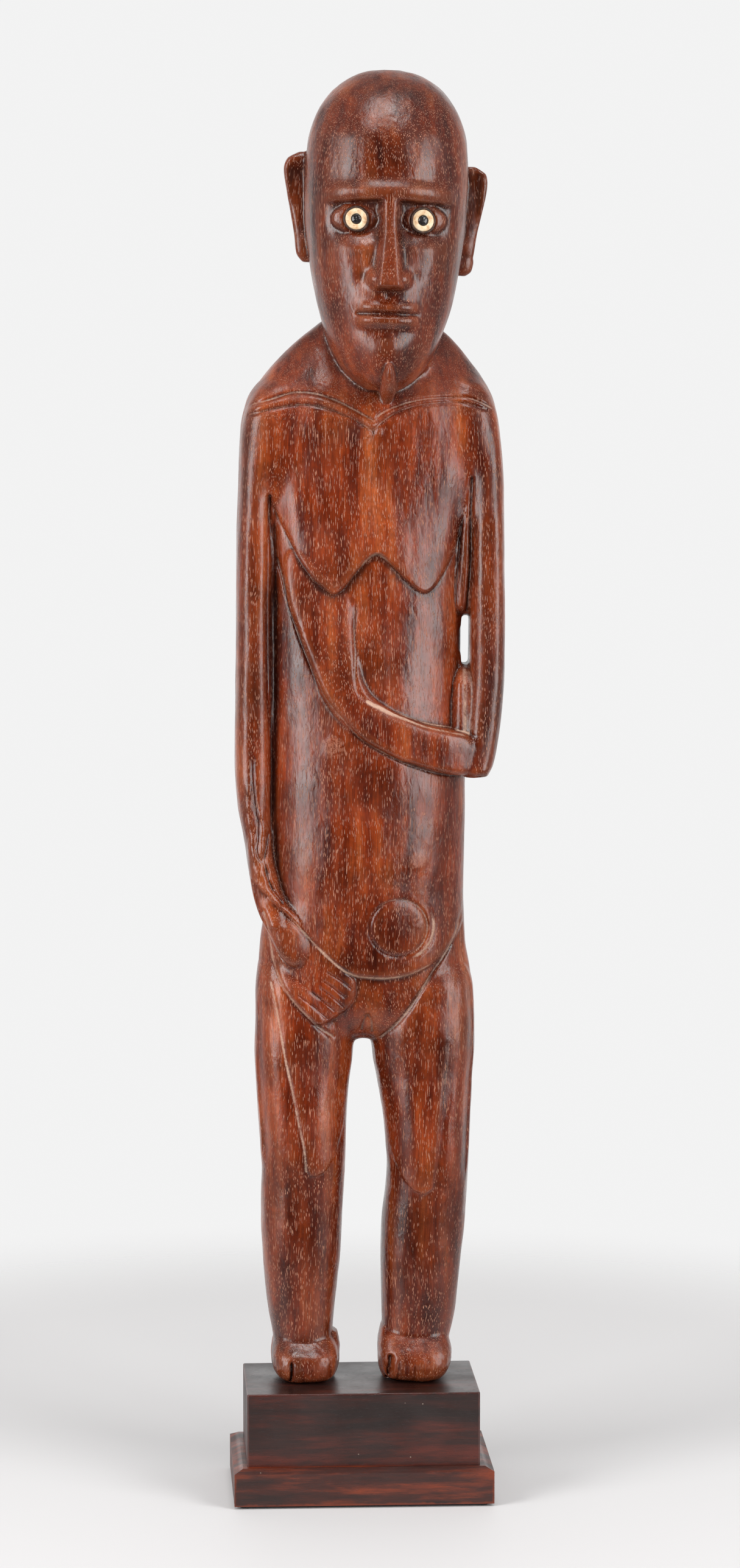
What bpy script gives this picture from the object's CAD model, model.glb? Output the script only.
"""Carved wooden ancestor figure on a two-step display base.

Sizes below are in millimetres unless a name says otherwise, and meshes are put into metres when they are
made. +Z is up, the figure faces -Y, and its own left side is towards +X.
"""

import bmesh
import bpy
import numpy as np
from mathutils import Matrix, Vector


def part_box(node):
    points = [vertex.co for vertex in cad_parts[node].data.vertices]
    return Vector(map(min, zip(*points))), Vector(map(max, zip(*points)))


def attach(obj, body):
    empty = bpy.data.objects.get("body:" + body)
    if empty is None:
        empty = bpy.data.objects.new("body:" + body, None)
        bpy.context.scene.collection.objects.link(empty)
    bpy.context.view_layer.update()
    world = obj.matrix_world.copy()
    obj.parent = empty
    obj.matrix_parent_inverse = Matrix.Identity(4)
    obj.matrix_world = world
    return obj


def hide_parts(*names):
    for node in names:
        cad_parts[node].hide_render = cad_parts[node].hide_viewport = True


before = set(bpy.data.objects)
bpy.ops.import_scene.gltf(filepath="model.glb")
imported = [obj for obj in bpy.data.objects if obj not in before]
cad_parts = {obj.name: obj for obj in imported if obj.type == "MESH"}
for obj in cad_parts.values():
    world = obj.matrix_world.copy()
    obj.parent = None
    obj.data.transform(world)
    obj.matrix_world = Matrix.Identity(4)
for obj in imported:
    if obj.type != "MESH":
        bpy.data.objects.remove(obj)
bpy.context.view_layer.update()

# ---- The figure: one billet of dense red-brown hardwood ---------------------------------------------------
# Head, trunk, arms and legs are carved from one piece, worked down with small blades and rubbed smooth.
# Each limb is first a closed form of its own; together they are grown into one skin, then the relief is cut.


def eased(at, marks, values):
    """Smooth run through the values given at the marks: a cubic between each pair whose slopes are the
    harmonic mean of the neighbouring slopes, and level where the run turns, so it never overshoots."""
    at, marks, values = np.asarray(at, float), np.asarray(marks, float), np.asarray(values, float)
    step = np.diff(marks)
    slope = np.diff(values, axis=0) / step.reshape((-1,) + (1,) * (values.ndim - 1))
    product = slope[:-1] * slope[1:]
    total = np.where(np.abs(slope[:-1] + slope[1:]) < 1e-12, 1.0, slope[:-1] + slope[1:])
    middle = np.where(product > 0, 2 * product / total, 0.0)
    tangent = np.concatenate([slope[:1], middle, slope[-1:]])
    i = np.clip(np.searchsorted(marks, at) - 1, 0, len(step) - 1)
    h = step[i].reshape((-1,) + (1,) * (values.ndim - 1))
    t = ((at - marks[i]) / step[i]).reshape(h.shape)
    return (
        (2 * t**3 - 3 * t**2 + 1) * values[i]
        + (t**3 - 2 * t**2 + t) * h * tangent[i]
        + (3 * t**2 - 2 * t**3) * values[i + 1]
        + (t**3 - t**2) * h * tangent[i + 1]
    )


def ease(low, high, value):
    """0 below low, 1 above high, and 3t^2 - 2t^3 between them."""
    t = np.clip((value - low) / (high - low), 0, 1)
    return t * t * (3 - 2 * t)


def rounded_ring(turn, power):
    """A superellipse of half width 1: signed cosine and sine, each raised to 2 over the power."""
    c, s = np.cos(turn), np.sin(turn)
    return np.sign(c) * np.abs(c) ** (2 / power), np.sign(s) * np.abs(s) ** (2 / power)


def limb(rows, power=2.6, rings=160, around=128):
    """A closed upright form from level rows of (height, left, right, front, side, back). Every level is a
    superellipse from left to right that reaches the front and back depths from the depth of its sides. Its
    power is one number, or rows of (height, power)."""
    rows = np.array(sorted(rows), float)
    share = np.linspace(0, 1, rings)
    height = rows[0, 0] + (rows[-1, 0] - rows[0, 0]) * (0.5 - 0.5 * np.cos(np.pi * share))
    left, right, front, side, back = eased(height, rows[:, 0], rows[:, 1:]).T[:, :, None]
    power = np.interp(height, *np.transpose(power))[:, None] if isinstance(power, list) else power
    across, deep = rounded_ring(np.linspace(0, 2 * np.pi, around, endpoint=False)[None, :], power)
    x = (left + right) / 2 + across * (right - left) / 2
    y = side + np.where(deep < 0, -deep * (front - side), deep * (back - side))
    return np.stack([x, y, np.broadcast_to(height[:, None], x.shape)], axis=-1)


def band(path, rings=140, around=96, power=3.2):
    """A closed bar carried along a path in the front plane. Path rows are (x, y, z, half height, half
    depth); a section is a superellipse square to the path, and both ends close to a point."""
    path = np.array(path, float)
    marks = np.concatenate([[0], np.cumsum(np.hypot(np.diff(path[:, 0]), np.diff(path[:, 2])))])
    share = 0.5 - 0.5 * np.cos(np.pi * np.linspace(0, 1, rings))
    x, y, z, half, depth = eased(share * marks[-1], marks, path).T
    run = np.stack([np.gradient(x), np.gradient(z)], axis=-1)
    run /= np.linalg.norm(run, axis=1)[:, None]
    close = np.clip(1 - np.abs(2 * share - 1) ** 14, 0, 1) ** 0.35
    across, deep = rounded_ring(np.linspace(0, 2 * np.pi, around, endpoint=False)[None, :], power)
    out = across * (half * close)[:, None]
    return np.stack(
        [
            x[:, None] - run[:, 1:] * out,
            y[:, None] + deep * (depth * close)[:, None],
            z[:, None] + run[:, :1] * out,
        ],
        axis=-1,
    )


def closed_faces(rings, around, first):
    """Quads between neighbouring rings that run round, and a fan of triangles to a pole at each end."""
    ring = first + np.arange(rings * around).reshape(rings, around)
    turned = np.roll(ring, -1, axis=1)
    quads = np.stack([ring[:-1], turned[:-1], turned[1:], ring[1:]], axis=-1).reshape(-1, 4)
    low, high = first + rings * around, first + rings * around + 1
    fans = [np.stack([turned[0], ring[0], np.full(around, low)], axis=-1)]
    fans.append(np.stack([ring[-1], turned[-1], np.full(around, high)], axis=-1))
    return quads.tolist() + np.concatenate(fans).tolist()


def joined_mesh(name, grids):
    """One mesh from grids of rings x around x 3 points in millimetres, each closed at both ends."""
    points, faces, first = [], [], 0
    for grid in grids:
        rings, around = grid.shape[:2]
        ends = np.stack([grid[0].mean(axis=0), grid[-1].mean(axis=0)])
        points += [grid.reshape(-1, 3), ends]
        faces += closed_faces(rings, around, first)
        first += rings * around + 2
    mesh = bpy.data.meshes.new(name)
    mesh.from_pydata((np.concatenate(points) / 1000).tolist(), [], faces)
    return mesh


def points_of(mesh):
    """The mesh's points in millimetres, and its point normals."""
    point, normal = np.empty(len(mesh.vertices) * 3), np.empty(len(mesh.vertices) * 3)
    mesh.vertices.foreach_get("co", point)
    mesh.vertices.foreach_get("normal", normal)
    return point.reshape(-1, 3) * 1000, normal.reshape(-1, 3)


def move_points(mesh, point):
    """Puts points in millimetres back into the mesh."""
    mesh.vertices.foreach_set("co", (point / 1000).ravel())
    mesh.update()


def with_modifier(piece, kind, **settings):
    """Gives the piece the mesh that one modifier makes of it."""
    modifier = piece.modifiers.new(kind.title(), kind)
    for setting, value in settings.items():
        setattr(modifier, setting, value)
    made = bpy.data.meshes.new_from_object(piece.evaluated_get(bpy.context.evaluated_depsgraph_get()))
    piece.modifiers.clear()
    old, piece.data = piece.data, made
    bpy.data.meshes.remove(old)


VOXEL, MOST_FACES = 0.00066, 198000
# Height of the soles, on the block's top
SOLE = 46.8
# Trunk without its arms: height, left, right, front, side, back
TRUNK = [
    (191.5, -6, 9, -6, 5, 12),
    (193.5, -15, 18, -10.5, 5, 17),
    (198, -30, 34, -13.5, 6, 23),
    (205, -40, 44.5, -16, 6, 27),
    (215, -42.3, 46.4, -18, 6, 28.5),
    (232, -41.2, 44.0, -20.5, 6, 28.5),
    (250, -39, 43.4, -22.5, 5, 26.5),
    (275, -38.4, 43.6, -24, 4, 24),
    (300, -38.2, 43.7, -24, 4, 23),
    (340, -38, 41.6, -21, 4, 22.5),
    (380, -38, 42.4, -19, 4, 24),
    (410, -40, 46, -18.5, 4, 26),
    (430, -44.5, 52, -19, 4, 27.5),
    (445, -47.7, 56.2, -19, 5, 28),
    (455, -46, 55.4, -17.5, 6, 27.5),
    (463, -41.2, 51.8, -14, 7, 26.5),
    (471, -34.7, 46.6, -9, 8, 25),
    (480, -25.5, 38.8, -4, 8, 23),
    (488, -15, 29.5, -2, 8, 20),
    (496, -5, 19, 0, 8, 16),
]
RIGHT_ARM = [
    (463, -42.5, -34, -4, 4, 9),
    (456, -46.4, -34, -10, 4, 14),
    (445, -49.0, -35, -14, 4, 17),
    (420, -50.1, -36.2, -15.5, 3, 16.5),
    (393, -51.0, -36.6, -15, 2, 15),
    (350, -51.4, -36.8, -14.5, 1, 14),
    (304, -51.8, -36.6, -14, 0, 12.5),
    (289, -50.8, -37.0, -14, -1, 10.5),
    (273.5, -47.9, -36.8, -14.5, -3, 8),
    (258, -45.5, -34, -16, -5, 5.5),
    (249, -43.0, -31, -17.5, -7, 3),
    (240, -39.5, -29, -18.5, -9, 0),
]
LEFT_ARM = [
    (464, 42, 51, -4, 5, 9),
    (456, 42.5, 55.2, -10, 5, 14),
    (445, 43.5, 57.5, -14, 4, 17),
    (420, 45.2, 59.2, -15.5, 3, 17),
    (395, 45.4, 59.4, -15.5, 2, 16.5),
    (367, 45.2, 59.7, -16, 1, 15.5),
    (347, 45.0, 59.4, -17, 0, 14.5),
    (329, 44, 58.3, -18.5, -1, 13.5),
    (314.5, 42.5, 56.5, -20, -2, 12.5),
    (305.8, 41.5, 54.6, -20.5, -2.5, 12),
    (301.6, 41.5, 52.6, -19.5, -2.5, 11.5),
]
RIGHT_LEG = [
    (232, -36, -12, -6, 6, 18),
    (222, -42.2, -7, -12, 6, 26),
    (212, -43.3, -4, -15.5, 6, 28),
    (197, -43.4, -3, -15.5, 6, 27.5),
    (186, -43.7, -2.8, -15, 6, 26.5),
    (174, -43.3, -4.3, -14.5, 6, 25.5),
    (166, -42.9, -5.0, -14.5, 6, 24.5),
    (144, -41.4, -5.8, -14, 6, 23.5),
    (136, -40.9, -6.2, -13, 6, 23),
    (128, -41.1, -6.6, -12, 7, 24),
    (113, -41.2, -7.6, -11.5, 8, 26),
    (98, -40.5, -8.4, -11, 8, 26),
    (83, -39.2, -9.6, -10, 8, 23.5),
    (75, -38.1, -10.5, -9.3, 7, 21.5),
    (67, -36.7, -11.2, -8.8, 6, 20),
    (60, -35.6, -11, -8, 6, 18.5),
    (56, -33, -13, -6, 6, 15),
]
LEFT_LEG = [
    (232, 14, 39, -6, 6, 18),
    (222, 9, 44.8, -12, 6, 26),
    (212, 6, 47.4, -15.5, 6, 28),
    (197, 5, 48, -15.5, 6, 27.5),
    (186, 5.2, 47.9, -15, 6, 26.5),
    (174, 7.1, 47.0, -14.5, 6, 25.5),
    (166, 8.6, 46.7, -14.5, 6, 24.5),
    (159, 9.8, 46.3, -14.3, 6, 24),
    (144, 11.1, 45.8, -14, 6, 23.5),
    (136, 11.6, 45.5, -13.3, 6, 23),
    (128, 11.1, 45.2, -12.3, 7, 24),
    (113, 9.6, 44.3, -11.5, 8, 26),
    (98, 9.1, 42.6, -11, 8, 26),
    (83, 9.4, 40.9, -10, 8, 23.5),
    (75, 9.5, 39.9, -9.3, 7, 21.5),
    (67, 9.7, 38.2, -8.8, 6, 20),
    (60, 10.2, 36.4, -8, 6, 18.5),
    (56, 12.5, 34, -6, 6, 15),
]
FOREARM = [
    (52, -9.0, 310, 8.2, 11.2),
    (46, -10.6, 310.2, 8.4, 10.4),
    (38, -13.6, 311.6, 9.2, 9.6),
    (26, -16.6, 314.6, 9.0, 8.7),
    (14, -17.8, 319, 8.6, 8.2),
    (5, -18.0, 323.9, 8.4, 7.8),
    (-2.5, -17.2, 330.2, 8.6, 7.5),
    (-8, -16.2, 339, 9.2, 7.2),
    (-11.2, -15.3, 350, 10.0, 7),
    (-14.3, -14.2, 364, 12.0, 6.7),
    (-16.8, -12.7, 378, 13.8, 6.4),
    (-18.3, -11, 391, 13.4, 6),
    (-18.5, -8, 402, 10, 5),
]
# The right wrist, bent in over the belly's lower edge as far as the knuckles
WRIST = [
    (-43.6, -6.8, 284, 4.2, 7.0),
    (-42.6, -7.8, 270, 4.6, 7.6),
    (-40.9, -8.6, 258, 4.9, 7.6),
    (-37.6, -9.6, 248.5, 5.8, 7.3),
    (-32, -10.8, 240, 7.2, 7.0),
    (-27, -11.6, 231.5, 8.0, 6.4),
    (-22, -11.6, 225, 7.4, 5.6),
]
RIGHT_FOOT = [
    (46.8, -29.5, -15.5, -9, 3, 12),
    (47.8, -33, -12.5, -12.6, 3, 15.5),
    (50, -35.6, -10.6, -14.6, 3, 18),
    (54, -36.9, -9.6, -15.2, 3, 19.6),
    (57.5, -37, -9.3, -14.7, 3, 20.4),
    (60.5, -36.7, -9.6, -12.2, 3, 20.4),
    (63, -36.2, -10.4, -9.6, 4, 19.5),
    (65.5, -35, -12, -7, 4, 17),
]
LEFT_FOOT = [
    (46.8, 15.5, 30, -8.5, 3, 12),
    (47.9, 11.6, 33.8, -12.2, 3, 15.5),
    (50.5, 9.2, 36.4, -14.4, 3, 18),
    (54.5, 8.1, 37.9, -15.0, 3, 19.6),
    (58.5, 7.7, 38.2, -14.0, 3, 20.4),
    (62, 8.0, 37.6, -11.6, 3, 20.4),
    (65, 8.6, 36.8, -9.4, 4, 19.5),
    (67.5, 10, 35.5, -7, 4, 17),
]
RIGHT_HEEL = [(47.4, -14, -10.2, 0, 5, 12), (52, -15, -8.7, -2.4, 5, 14), (60, -15, -8.2, -2.6, 5, 14),
              (66.6, -14, -9.2, 0, 5, 12)]
LEFT_HEEL = [(47.4, 9.4, 14, -4, 3, 12), (53, 7.9, 15, -7, 3, 14), (61, 7.6, 15, -6.5, 3, 14),
             (68.4, 8.8, 14, -3, 4, 12)]
# Where the shoulders run flush into the chest, and the web that backs the groove beside the right arm
RIGHT_SHOULDER = [
    (411, -48, -36, -8, 4, 12),
    (418, -49.6, -31, -13.2, 4, 14),
    (432, -49.7, -26, -15.8, 4, 16),
    (446, -48.6, -26, -15.8, 4, 16),
    (456, -45.4, -26, -13.6, 4, 14),
    (463, -41, -26, -10, 4, 12),
]
LEFT_SHOULDER = [
    (424, 46, 56, -8, 4, 12),
    (430, 40, 58, -13.4, 4, 14),
    (440, 36, 57.6, -15.8, 4, 16),
    (450, 36, 56.2, -15.4, 4, 16),
    (458, 36, 53.8, -13, 4, 14),
    (464, 38, 50, -10, 4, 12),
]
RIGHT_WEB = [(252, -41, -30, -9, 2, 8), (275, -42, -33, -8, 2, 9), (330, -42, -34, -7.5, 3, 11),
             (418, -42, -33, -9.5, 4, 14)]
# The web that joins the left arm to the waist, above and below the open slot, and the slot's rounded corners
UPPER_WEB = [(367.4, 41, 46, -3, 4, 9), (368.6, 39.6, 47, -6, 4, 11), (372, 38, 48, -9, 4, 13),
             (400, 40, 49, -11, 4, 14),
             (428, 42, 50, -13, 4, 14), (440, 42, 50, -15, 4, 14)]
LOWER_WEB = [(306, 36, 50, -17.5, 3, 10), (325, 37, 49, -15.5, 3, 12), (339, 38, 48, -13.5, 3, 12),
             (345, 39.6, 47, -8, 3, 11),
             (347, 41, 46, -3, 3, 9)]
SLOT_CORNERS = [
    [(low, 40.5, 42.2, -6, 4, 12), (high, 41, 41.6, -4, 4, 9)] for low, high in ((345, 352), (370, 362.5))
] + [[(low, 44.7, 46.5, -6, 4, 12), (high, 45.3, 46, -4, 4, 9)] for low, high in ((345, 350), (370, 364.5))]

# Head, on its own axes: height above the chin, left, right, front, side, back
CHIN = np.array([8.6, 0, 468.5])
HEAD_LEAN = np.radians(1.5)
HEAD = [
    (-8, -6, 6, -29, -20, -8),
    (-4, -12.5, 12.5, -35, -16, 5),
    (3, -18.5, 18.5, -38.6, -14, 14),
    (14, -23.6, 23.6, -40.2, -12, 21),
    (30, -28.2, 28.2, -40.6, -10, 26.5),
    (46, -31.0, 31.0, -40.0, -8, 30),
    (62, -32.8, 32.8, -39.2, -6, 31.8),
    (78, -33.3, 33.3, -38.2, -5, 32.3),
    (92, -32.4, 32.4, -35.4, -4, 31),
    (103, -29.2, 29.2, -30, -4, 27),
    (111.5, -24, 24, -23.5, -4, 21),
    (117.2, -17.4, 17.4, -16.5, -4, 14.5),
    (120.5, -10, 10, -10, -4, 7),
    (121.7, -4, 4, -6, -4, -1),
]
RIGHT_EAR = [
    (43, -33, -24, 2.5, 5, 8),
    (46.5, -35.6, -23, 1.5, 5, 9),
    (53.5, -36.6, -22, 1, 5, 9.5),
    (61, -38.0, -22, 0.5, 5, 9.5),
    (72, -40.2, -22, 0.5, 5, 9.5),
    (81, -41.6, -22, 1, 5, 9.5),
    (85, -40.4, -23, 1.5, 5, 9),
    (88, -35.5, -25, 3, 5, 8),
]
LEFT_EAR = [
    (44.5, 22, 36.5, 2.5, 5, 8),
    (48, 22, 37.2, 1.5, 5, 9),
    (56, 22, 38.4, 1, 5, 9.5),
    (67, 22, 40.6, 0.5, 5, 9.5),
    (77, 22, 42.2, 1, 5, 9.5),
    (80.5, 22, 41.6, 1.5, 5, 9),
    (83.5, 24, 37, 3, 5, 8),
]
LEFT_LOBE = [(39, 28, 34, 3, 5, 8), (41, 26, 36.4, 2, 5, 8.5), (45, 26, 37.2, 1.6, 5, 8.5),
             (48.6, 28, 35.5, 3, 5, 8)]
BEARD = [
    (455.0, 8.9, 10.9, -28, -25, -14),
    (457.2, 7.6, 12.0, -33, -27, -14),
    (461, 6.6, 13.0, -38.4, -29, -14),
    (465.5, 6.7, 12.9, -41.6, -31, -14),
    (469, 7.5, 12.1, -42.6, -33, -16),
    (471.5, 8.7, 10.9, -41.8, -35, -18),
]


def on_head(grid):
    """Head axes to figure axes: leans about the chin towards +X, then shifts there."""
    x, y, up = grid[..., 0], grid[..., 1], grid[..., 2]
    c, s = np.cos(HEAD_LEAN), np.sin(HEAD_LEAN)
    return np.stack([x * c + up * s, y, up * c - x * s], axis=-1) + CHIN


def hill(distance, width):
    """1 on the line, falling away as exp(-(distance / width)^2)."""
    return np.exp(-((distance / width) ** 2))


EYE_OUT, EYE_UP, EYE_RIM, EYE_TURN = 13.5, 60.75, -35.6, np.radians(6)
BROW_UP, NOSE_UP, MOUTH_UP = 68.3, 34.0, 23.0


def with_face(grid):
    """The face, as heights added to the front of the head: a brow shelf over hollows, a straight nose that
    widens to its wings, a closed mouth on a low rise, cheeks and a chin."""
    x, y, up = grid[..., 0], grid[..., 1].copy(), grid[..., 2]
    front = ease(-4, -16, y)
    away = np.abs(x)
    shelf = BROW_UP + 0.4 - 0.0022 * away**2
    y -= front * 2.3 * hill(up - shelf - 3.6, 3.6) * ease(29, 23, away)
    below = ease(shelf + 0.5, shelf - 0.9, up) * ease(48, 58, up)
    y += front * 3.6 * below * ease(2.0, 5.5, away) * ease(27, 18, away)
    run = np.clip((BROW_UP - up) / (BROW_UP - NOSE_UP), 0, 1)
    half = 2.7 + 2.6 * run**1.5
    nose = (1.4 + 6.0 * run**1.15) * ease(half + 2.2, half - 1.6, away)
    nose *= ease(NOSE_UP - 2.4, NOSE_UP + 0.8, up) * ease(BROW_UP + 4, BROW_UP - 2, up)
    wing = 3.9 * hill(away - 6.3, 2.3) * hill(up - NOSE_UP - 3.2, 3.2)
    y -= front * np.maximum(nose, wing)
    y += front * 0.9 * hill(np.hypot(away - 10.2, up - NOSE_UP - 4), 2.6)
    y -= front * 2.2 * hill(x, 15) * hill(up - MOUTH_UP, 10)
    lip = ease(13.5, 9, away)
    y -= front * lip * (1.5 * hill(up - MOUTH_UP - 2.7, 1.9) + 1.7 * hill(up - MOUTH_UP + 2.9, 2.1))
    y += front * 1.9 * hill(up - MOUTH_UP, 0.75) * ease(13.5, 11.5, away)
    y += front * 0.7 * hill(away, 1.5) * hill(up - MOUTH_UP - 7.2, 3)
    y += front * 0.9 * hill(up - MOUTH_UP + 7, 2.2) * hill(x, 10)
    y -= front * 1.8 * hill(x, 8) * hill(up - 8.5, 6)
    y -= front * 1.5 * hill(away - 18, 8) * hill(up - 46, 9)
    for side in (-1, 1):
        out, rise = x - side * EYE_OUT, up - EYE_UP
        far = np.hypot(out / 9.6, rise / (6.4 - 1.0 * (out / 9.6) ** 2))
        bored = ease(5.4, 4.6, np.hypot(out, rise))
        mound = EYE_RIM + side * out * np.tan(EYE_TURN) + 0.1 + 1.9 * far**3 + bored
        y = np.where((far < 1.0) & (front > 0.5), mound, y)
        y += front * 0.25 * hill(far - 1.02, 0.06)
    return np.stack([x, y, up], axis=-1)


def hollow_ear(grid):
    """Sinks the ear's front face inside its rim."""
    x, y, up = grid[..., 0], grid[..., 1].copy(), grid[..., 2]
    away = np.abs(x)
    inside = ease(41, 37.5, away) * ease(29, 33, away) * ease(50, 58, up) * ease(86, 79, up)
    y += 2.2 * inside * ease(4.5, 2.5, y)
    return np.stack([x, y, up], axis=-1)


TRUNK_POWER = [(189, 2.4), (250, 2.1), (330, 2.2), (400, 2.6), (445, 2.8), (496, 2.6)]
figure = bpy.data.objects.new("carved_figure", joined_mesh("carved_figure", [
    limb(TRUNK, power=TRUNK_POWER, rings=260, around=220),
    limb(RIGHT_SHOULDER, power=3.4, rings=60),
    limb(LEFT_SHOULDER, power=3.4, rings=60),
    limb(RIGHT_WEB, power=3, rings=60, around=48),
    limb(RIGHT_ARM, power=2.9),
    limb(LEFT_ARM, power=3.4),
    limb(UPPER_WEB, power=4, rings=60, around=48),
    limb(LOWER_WEB, power=4, rings=60, around=48),
    *(limb(corner, power=2, rings=30, around=32) for corner in SLOT_CORNERS),
    limb(RIGHT_LEG, power=2.6),
    limb(LEFT_LEG, power=2.6),
    limb(RIGHT_FOOT, power=3.6, rings=90),
    limb(LEFT_FOOT, power=3.6, rings=90),
    limb(RIGHT_HEEL, power=2.4, rings=50, around=48),
    limb(LEFT_HEEL, power=2.4, rings=50, around=48),
    band(FOREARM, power=4.4),
    band(WRIST, power=3),
    on_head(with_face(limb(HEAD, power=2.25, rings=420, around=640))),
    on_head(hollow_ear(limb(RIGHT_EAR, power=4.5, rings=120))),
    on_head(hollow_ear(limb(LEFT_EAR, power=4.5, rings=120))),
    on_head(limb(LEFT_LOBE, power=2.6, rings=50)),
    limb(BEARD, power=2.2, rings=60, around=64),
]))
bpy.context.scene.collection.objects.link(figure)
with_modifier(figure, "REMESH", mode="VOXEL", voxel_size=VOXEL, use_smooth_shade=True)
with_modifier(figure, "SMOOTH", factor=0.5, iterations=3)


def averager(mesh):
    """A function that gives each point the mean of a value over the points it shares an edge with."""
    ends = np.empty(len(mesh.edges) * 2, np.int64)
    mesh.edges.foreach_get("vertices", ends)
    a, b = ends.reshape(-1, 2).T
    size = len(mesh.vertices)
    count = np.maximum(np.bincount(a, minlength=size) + np.bincount(b, minlength=size), 1)

    def mean(value):
        return (np.bincount(a, value[b], size) + np.bincount(b, value[a], size)) / count

    return mean


# The shoulders are pared flush with the chest, and the crotch is rounded to an arch
point, normal = points_of(figure.data)
x, y, z = point.T
soft = ease(19, 26, np.abs(x - 3)) * ease(404, 412, z) * ease(478, 470, z) * ease(10, 2, y)
soft = np.maximum(soft, ease(14, 8, np.abs(x - 1.5)) * ease(180, 186, z) * ease(206, 200, z))
mean = averager(figure.data)
for _ in range(70):
    point += 0.8 * soft[:, None] * (np.stack([mean(point[:, k]) for k in range(3)], axis=-1) - point)
move_points(figure.data, point)


def flowing(points, closed=False, share=6):
    """A smooth line through hand-set points: the cubic whose slope at each point is half the chord between
    its neighbours, cut into a few straight runs per span."""
    p = np.array(points, float)
    p = np.concatenate([p[-1:], p, p[:2]]) if closed else np.concatenate([p[:1], p, p[-1:]])
    t = np.linspace(0, 1, share, endpoint=False)[None, :, None]
    a, b, c, d = (p[i : len(p) - 3 + i][:, None] for i in range(4))
    run = 0.5 * (2 * b + (c - a) * t + (2 * a - 5 * b + 4 * c - d) * t**2 + (3 * b - a - 3 * c + d) * t**3)
    return np.concatenate([run.reshape(-1, 2), p[-2:-1]])


def to_line(x, z, line, reach):
    """Distance to a line of points on the front plane, the signed distance to its left, and the length run
    along it, worked out only within reach of the line's box and left far outside it."""
    near = np.full(x.shape, 1e3)
    left, along = np.full(x.shape, -1e3), np.zeros(x.shape)
    low, high = line.min(axis=0) - reach, line.max(axis=0) + reach
    pick = np.flatnonzero((x > low[0]) & (x < high[0]) & (z > low[1]) & (z < high[1]))
    px, pz = x[pick], z[pick]
    best, side, run = np.full(len(pick), 1e3), np.zeros(len(pick)), np.zeros(len(pick))
    start = 0.0
    for (ax, az), (bx, bz) in zip(line[:-1], line[1:]):
        ux, uz = bx - ax, bz - az
        size = np.hypot(ux, uz)
        t = np.clip(((px - ax) * ux + (pz - az) * uz) / size**2, 0, 1)
        d = np.hypot(px - ax - t * ux, pz - az - t * uz)
        closer = d < best
        best[closer] = d[closer]
        side[closer] = (np.sign(ux * (pz - az) - uz * (px - ax)) * d)[closer]
        run[closer] = start + (t * size)[closer]
        start += size
    near[pick], left[pick], along[pick] = best, side, run
    return near, left, along


def inside(x, z, outline, reach=4.0):
    """Signed distance to a closed outline, positive inside it, by counting crossings to the right."""
    near, _, _ = to_line(x, z, outline, reach)
    within = np.zeros(x.shape, bool)
    for (ax, az), (bx, bz) in zip(outline, np.roll(outline, -1, axis=0)):
        if az != bz:
            within ^= ((az > z) != (bz > z)) & (x < ax + (z - az) * (bx - ax) / (bz - az))
    return np.where(within, near, -near)


def wander(point, size, seed):
    """Smooth noise from -1 to 1: random values on a lattice of the given cell size, eased between corners."""
    cell = np.asarray(size, float)
    at = point / cell
    base = np.floor(at).astype(np.int64)
    t = at - base
    t = t * t * (3 - 2 * t)
    total = np.zeros(len(point))
    for corner in np.ndindex(2, 2, 2):
        c = base + corner
        key = (c[:, 0] * 73856093) ^ (c[:, 1] * 19349663) ^ (c[:, 2] * 83492791) ^ (seed * 2654435761)
        key = (key ^ (key >> 13)) * 1274126177 & 0x7FFFFFFF
        share = np.prod(np.where(corner, t, 1 - t), axis=1)
        total += share * ((key % 65536) / 32767.5 - 1)
    return total


# Lines of the carving on the front, as (across, height)
COLLAR_TOP = [(-48, 453.5), (-38, 456.3), (-28, 459.3), (-19, 458.8), (-11, 456.3), (-2.5, 452), (5, 447.6)]
COLLAR_TOP_LEFT = [(5, 447.6), (8, 451), (17, 454.8), (26, 456.6), (36, 457.2), (45, 456.6), (54, 452.5)]
COLLAR_LOW = [(-47, 450), (-37.5, 452.5), (-29, 454.2), (-21, 454.4), (-12.5, 452.4), (-4, 449), (4.5, 443.6)]
COLLAR_LOW_LEFT = [(4.5, 443.6), (7, 446.5), (13, 450.8), (21, 453.8), (29, 455), (40, 455.4), (51, 452.5)]
BREASTS = [(-38, 416), (-33.5, 407.5), (-29, 398.6), (-25, 390.6), (-19, 382.6), (-13.5, 378.1), (-11, 377.4),
           (-7.5, 380), (-3.5, 385.3), (1, 390.6), (4, 393), (6, 393.6), (8, 393), (12, 389.4), (17, 384),
           (22, 379.2), (26, 377.6), (30, 380.2), (35, 388.2), (38.5, 396), (41, 405.5), (43.5, 418),
           (45.5, 425.5)]
CHEST_LINE = [(3.6, 440), (4.6, 425), (3.9, 410), (5.4, 400), (6, 393.6)]
BELLY_EDGE = [(-38, 252), (-33, 247), (-28, 242), (-22.5, 235.8), (-16, 229), (-8.5, 222.3), (-3, 219.4),
              (2, 218.6), (9, 218.3), (17, 219), (23, 221), (29, 224), (34.5, 228.4), (39.5, 234.5),
              (42.5, 240)]
LEFT_GROIN = [(43.5, 246), (41, 241), (39.5, 236), (34.5, 227), (29, 219.5), (24, 211.5), (18, 202.5),
              (12, 196), (8.5, 192.5)]
RIGHT_GROIN = [(-40.5, 246), (-39, 241.5), (-37.4, 231.5), (-36, 224), (-33, 216), (-28.5, 209),
               (-22.5, 202.5),
               (-17.5, 197.5), (-12, 193.5)]
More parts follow.
